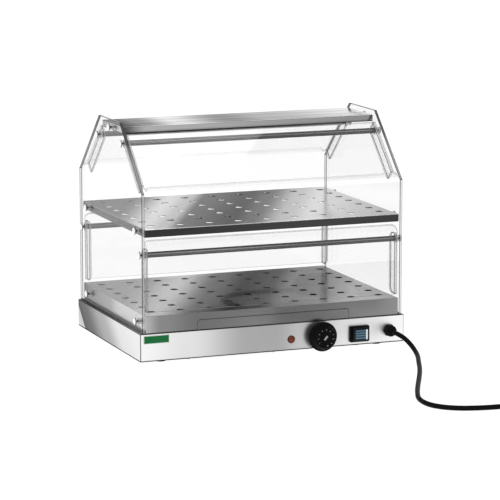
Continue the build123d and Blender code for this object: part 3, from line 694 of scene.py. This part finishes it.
def bent_sheet(name, path, half_width, thick, inside, corner, round_end):
    """A sheet bent along a path of (y, z) points. inside is +1 or -1, the side of the path where
    its thickness lies. round_end names the end whose corners are rounded, "first" or "last"."""
    line = fine_path(path)
    if round_end == "first":
        line = line[::-1]
        inside = -inside
    lengths = [0.0]
    for a, b in zip(line, line[1:]):
        lengths.append(lengths[-1] + (b - a).length)
    total = lengths[-1]
    ends = [total - corner * (1 - sin(pi * i / 20)) for i in range(10)]
    places = sorted([s for s in lengths if s < total - corner] + ends + [total])
    rows = []
    for s in places:
        i = max(j for j in range(len(lengths) - 1) if lengths[j] <= s + 1e-9)
        share = (s - lengths[i]) / (lengths[i + 1] - lengths[i])
        here = line[i].lerp(line[i + 1], share)
        a = line[max(i - 1, 0)]
        b = line[min(i + 2, len(line) - 1)]
        along = (b - a).normalized()
        other = here + Vector((-along.y, along.x)) * inside * thick
        short = max(0.0, corner - (total - s))
        width = half_width - corner + sqrt(max(0.0, corner ** 2 - short ** 2))
        rows.append((here, other, width))
    points = []
    for here, other, width in rows:
        points += [(-width, *here), (width, *here), (width, *other), (-width, *other)]
    faces, kinds = [(0, 1, 2, 3)], [1]
    for r in range(len(rows) - 1):
        for i, kind in enumerate((0, 1, 0, 1)):
            a, b = 4 * r + i, 4 * r + (i + 1) % 4
            faces.append((a, b, b + 4, a + 4))
            kinds.append(kind)
    last = 4 * (len(rows) - 1)
    faces.append((last + 3, last + 2, last + 1, last))
    kinds.append(1)
    return mesh_of(name, points, faces, kinds)


FLAP_T = 0.004
HALF_FLAP = 0.237
SLOPE = atan2(0.1108, 0.116)          # of the roof's slanting edges
CHEEK_W = 0.024


def cheek_outline(pivot, along, inwards, near, length, above, corner):
    """The outline of an end plate, from its hinge: it runs along the flap and reaches inwards."""
    def at(u, v):
        return tuple(pivot + along * u + inwards * v)
    far = near + CHEEK_W
    shape = [(-above, near), (length, near)]
    shape += arc((length - corner, far - corner), corner, 0, 90, 6)
    shape += arc((-above + 0.011, far - 0.011), 0.011, 90, 180, 8)
    return [at(u, v) for u, v in shape]


def cheeks(m, name, outline, body, node):
    thin = (HALF_FLAP - FLAP_T, HALF_FLAP)
    clear_plate(m, name + "_right", outline, *thin, body, node)
    clear_plate(m, name + "_left", outline, -thin[1], -thin[0], body, node)


def upper_flap(m, side, body):
    """The sloping flap: its sheet hangs outside the rod and ends in a finger lip, curled at the tip."""
    pivot = Vector(JOINTS[body.replace("flap", "hinge")].yz)
    down = Vector((side * cos(SLOPE), -sin(SLOPE)))
    out = Vector((side * sin(SLOPE), cos(SLOPE)))
    tilt = radians(10.6)
    lip = Vector((side * cos(tilt), -sin(tilt)))
    top = pivot + out * 0.0162 - down * 0.007
    bend = pivot + out * 0.0162 + down * 0.108
    curl = 0.0044
    end = bend + lip * (0.02565 - FLAP_T)
    path = rounded_path([tuple(p) for p in (top, bend, end, end + Vector((0, 0.0052)))], (0.011, curl))
    sheet = bent_sheet(body + "_sheet_clear", path, HALF_FLAP, FLAP_T, -side, 0.003, "last")
    clear_sheet(m, sheet, body)
    outline = cheek_outline(pivot, down, -out, FLAP_T - 0.0162, 0.105, 0.011, 0.006)
    cheeks(m, body + "_cheek_clear", outline, body, body + "_cheeks")


def lower_flap(m, side, body):
    """The upright flap: its sheet's top is bent inwards over the rod, with round corners."""
    pivot = Vector(JOINTS[body.replace("flap", "hinge")].yz)
    face = pivot + Vector((side * 0.012, 0))
    top = pivot + Vector((-side * 0.001, 0.0263))
    corners = (top, face + Vector((0, 0.0173)), face - Vector((0, 0.0997)))
    path = rounded_path([tuple(p) for p in corners], (0.006,))
    sheet = bent_sheet(body + "_sheet_clear", path, HALF_FLAP, FLAP_T, -side, 0.008, "first")
    clear_sheet(m, sheet, body)
    inwards = Vector((-side, 0))
    outline = cheek_outline(pivot, Vector((0, -1)), inwards, FLAP_T - 0.012, 0.0997, 0.011, 0.012)
    cheeks(m, body + "_cheek_clear", outline, body, body + "_cheeks")


# ---------------------------------------------------------------- fasteners and controls

def join_lathes(name, shapes, smooth=True):
    points, faces = [], []
    for one_points, one_faces in shapes:
        first = len(points)
        points += one_points
        faces += [tuple(first + i for i in face) for face in one_faces]
    return mesh_of(name, points, faces, smooth=smooth)


SCREW_HEAD = [(0.0010, 0.0), (0.0063, 0.0), (0.0065, 0.0006), (0.0063, 0.0016), (0.0056, 0.0025),
              (0.0044, 0.0031), (0.0030, 0.0033), (0.0014, 0.0034), (0.0003, 0.0034)]


def island_boxes(node):
    """The lowest and highest corner of each loose part of a CAD node."""
    mesh = frame["nodes"][node].data
    work = bmesh.new()
    work.from_mesh(mesh)
    bmesh.ops.remove_doubles(work, verts=work.verts, dist=1e-6)
    seen, boxes = set(), []
    for start in work.verts:
        if start in seen:
            continue
        stack, island = [start], []
        seen.add(start)
        while stack:
            vert = stack.pop()
            island.append(vert.co.copy())
            for edge in vert.link_edges:
                other = edge.other_vert(vert)
                if other not in seen:
                    seen.add(other)
                    stack.append(other)
        low = Vector([min(p[i] for p in island) for i in range(3)])
        high = Vector([max(p[i] for p in island) for i in range(3)])
        boxes.append((low, high))
    work.free()
    return boxes


def panel_screws(m, node):
    """Domed screws with their shanks, at the CAD screws' places."""
    shapes = []
    for low, high in island_boxes(node):
        right = high.x > 0
        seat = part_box("side_panel_right")[1].x * (1 if right else -1)
        tip = low.x if right else high.x
        shank = abs(seat - tip)
        turn = TO_RIGHT if right else TO_LEFT
        at = Vector((seat, (low.y + high.y) / 2, (low.z + high.z) / 2))
        shapes.append(lathe(SCREW_HEAD, 32, at, turn))
        stem = [(0.0012, -shank), (0.0019, -shank + 0.0006)]
        pitch = (shank - 0.001) / 24
        stem += [(0.0019 - 0.0002 * (i % 2), -shank + 0.001 + i * pitch) for i in range(25)]
        shapes.append(lathe(stem, 20, at, turn))
    mesh = join_lathes(node + "_domed", shapes)
    piece(node + "_domed", mesh, [m["screw"]], "case", "screw_chrome", node)


def feet(m):
    """Rubber feet with a waist groove and a recess under the screw."""
    profile = [(0.0052, -0.0018), (0.005, -0.0048), (0.0088, -0.005), (0.0097, -0.0046), (0.01, -0.004),
               (0.01, -0.0028), (0.0095, -0.0024), (0.0095, -0.0019), (0.01, -0.0015), (0.01, -0.0002),
               (0.0023, 0.0)]
    shapes = []
    for low, high in island_boxes("rubber_feet"):
        at = Vector(((low.x + high.x) / 2, (low.y + high.y) / 2, high.z))
        shapes.append(lathe(profile, 40, at, Matrix.Identity(3)))
    mesh = join_lathes("feet", shapes)
    piece("rubber_feet_grooved", mesh, [m["rubber"]], "case", "black_rubber", "rubber_feet")


KNOB_FRONT_R = 0.0195
KNOB_RING = 0.0144                    # the numerals' distance from the knob's middle
KNOB_MARKS = ("1", "2", "3", "4", "5", "6", "7", "8", "9", "10")


def knob(m):
    """The thermostat's knob: a collar, a wide thin skirt, and a drafted grip with a dished dial."""
    low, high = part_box("knob")
    at = Vector(((low.x + high.x) / 2, high.y, (low.z + high.z) / 2))
    reach = high.y - low.y
    back = (high.x - low.x) / 2
    profile = [(0.0125, 0.0), (0.0146, 0.0), (0.015, 0.0004), (0.015, 0.0093), (back - 0.0006, 0.0096),
               (back, 0.0102), (back, 0.0119), (back - 0.0006, 0.0125), (0.0238, 0.0127), (0.0233, 0.0134)]
    profile += [(KNOB_FRONT_R + 0.0001, reach - 0.0022)]
    profile += [(KNOB_FRONT_R - 0.002 + r, reach - 0.002 + h) for r, h in arc((0, 0), 0.002, 10, 90, 6)]
    profile += [(0.0163, reach), (0.0160, reach - 0.0004), (0.0075, reach - 0.0004), (0.0071, reach - 0.0001),
                (0.0005, reach - 0.0001)]
    body = join_lathes("knob_turned", [lathe(profile, 96, at, TO_FRONT)])
    piece("knob_turned", body, [m["black"]], "knob", "black_plastic", "knob")
    dress(m["white"], "knob_mark")
    dial = at.y - reach + 0.0004
    shapes = []
    for i, mark in enumerate(KNOB_MARKS):
        angle = radians(215 - 290 * i / (len(KNOB_MARKS) - 1))
        middle = Vector((at.x + KNOB_RING * cos(angle), dial, at.z + KNOB_RING * sin(angle)))
        shapes.append(numeral(mark, middle, angle - pi / 2))
    marks = join_lathes("dial_marks", shapes, smooth=False)
    piece("dial_marks", marks, [m["white"]], "knob", "mark_white")


def numeral(text, middle, turn):
    """Points and faces of a printed numeral on a face that looks along -Y."""
    letters = bpy.data.curves.new("numeral", "FONT")
    letters.body = text
    letters.size = 0.0036
    letters.align_x = "CENTER"
    letters.align_y = "CENTER"
    letters.extrude = 0.00005
    holder = bpy.data.objects.new("numeral", letters)
    mesh = bpy.data.meshes.new_from_object(holder)
    stand = TO_FRONT @ Matrix.Rotation(turn, 3, "Z")
    points = [middle + stand @ v.co for v in mesh.vertices]
    faces = [tuple(p.vertices) for p in mesh.polygons]
    bpy.data.objects.remove(holder)
    bpy.data.curves.remove(letters)
    bpy.data.meshes.remove(mesh)
    return points, faces


def pilot_lamp(m):
    """A domed lens in a thin black ring."""
    low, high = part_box("pilot_lens")
    at = Vector(((low.x + high.x) / 2, high.y, (low.z + high.z) / 2))
    dome = [(0.0062, 0.0), (0.0062, 0.0016)]
    dome += [(0.0062 * cos(radians(a)), 0.0016 + 0.0024 * sin(radians(a))) for a in range(15, 90, 15)]
    mesh = join_lathes("pilot_dome", [lathe(dome, 40, at, TO_FRONT)])
    piece("pilot_dome", mesh, [m["amber"]], "case", "amber_lens", "pilot_lens")
    ring = [(0.0060, 0.0), (0.0070, 0.0), (0.0070, 0.0008), (0.0067, 0.0013), (0.0063, 0.0013)]
    mesh = join_lathes("pilot_ring", [lathe(ring, 40, at, TO_FRONT)])
    piece("pilot_ring", mesh, [m["black"]], "case", "black_plastic", "pilot_lens")


def gland(m):
    """The cord gland's domed nut, ribbed for grip, tapering into a ringed sleeve."""
    low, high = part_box("gland_nut")
    at = Vector((CORD_ROUTE[0][0], high.y, (low.z + high.z) / 2))
    reach = high.y - low.y
    radius = (high.x - low.x) / 2
    profile = [(0.0084, 0.0), (radius - 0.0004, 0.0), (radius, 0.0006), (radius, 0.0062),
               (radius - 0.0007, 0.0076), (0.0088, 0.0090), (0.0086, 0.0094), (0.0086, 0.0108),
               (0.0078, 0.0112), (0.0077, 0.0122), (0.0070, 0.0126), (0.0068, 0.0136), (0.0060, 0.0141),
               (0.0056, reach - 0.0004), (0.0044, reach)]
    turned = lathe(profile, 72, at, TO_FRONT, flutes=12, depth=0.0012, between=(2, 3))
    mesh = join_lathes("gland_sleeve", [turned])
    return piece("gland_sleeve", mesh, [m["black"]], "case", "black_plastic", "gland_nut")


def plug(m):
    """A two-pin mains plug: ringed tail, drafted body with a grip rib, and two steel pins."""
    low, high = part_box("cord_plug")
    at = Vector(((low.x + high.x) / 2, low.y, (low.z + high.z) / 2))
    radius = (high.x - low.x) / 2
    profile = [(0.0046, 0.0), (0.0052, 0.0006)]
    for i in range(5):
        h = 0.001 + 0.0042 * i
        r = 0.0052 + 0.0021 * i / 4
        profile += [(r, h), (r, h + 0.0022), (r - 0.0010, h + 0.0026), (r - 0.0010, h + 0.0038)]
    profile += [(0.0078, 0.0225), (0.0120, 0.0248), (radius - 0.0022, 0.0275), (radius - 0.0006, 0.031),
                (radius, 0.036), (radius, 0.0405), (radius - 0.0008, 0.0412), (radius - 0.0008, 0.0428),
                (radius, 0.0435), (radius, 0.0600), (radius - 0.0008, 0.0612), (radius - 0.002, 0.062),
                (0.0005, 0.062)]
    turned = lathe(profile, 72, at, TO_BACK, flutes=24, depth=0.0006, between=(26, 29))
    body = join_lathes("plug_body", [turned])
    thing = piece("plug_body", body, [m["cord"]], "case", "cord_rubber", "cord_plug")
    pin = [(0.0024, 0.0619), (0.0024, 0.0795), (0.0021, 0.0806), (0.0012, 0.081), (0.0003, 0.081)]
    sides = [lathe(pin, 24, at + Vector((s * 0.0095, 0, 0)), TO_BACK) for s in (-1, 1)]
    pin_mesh = join_lathes("plug_pins", sides)
    pins = piece("plug_pins", pin_mesh, [m["chrome"]], "case", "zinc_steel", "cord_plug")
    return [thing, pins]


def ring_of_screws(m):
    for node in ("rod_end_screws", "shelf_screws", "cover_screws"):
        panel_screws(m, node)


# ---------------------------------------------------------------- build

camera()
world()
softbox("key", (-1.6, -2.2, 2.4), (0, 0, 0.2), (1.6, 1.6), 26)
softbox("top", (0.2, 0.3, 2.6), (0, 0, 0.2), (1.8, 1.4), 22)

finish = finishes()
sleeve = gland(finish)
plug_pieces = plug(finish)
cord = piece("power_cord_run", cord_curve(), [finish["cord"]], "case", "cord_rubber",
             "power_cord", "cord_coil")

dress_case(finish)
panels(finish)
for way, side in (("front", -1), ("rear", 1)):
    upper_flap(finish, side, way + "_upper_flap")
    lower_flap(finish, side, way + "_lower_flap")
ring_of_screws(finish)
feet(finish)
knob(finish)
pilot_lamp(finish)

ground = mesh_of("floor", [(-12, -12, 0), (12, -12, 0), (12, 12, 0), (-12, 12, 0)], [(0, 1, 2, 3)])
floor = bpy.data.objects.new("floor", ground)
ground.materials.append(floor_paint("floor_paint"))
bpy.context.scene.collection.objects.link(floor)
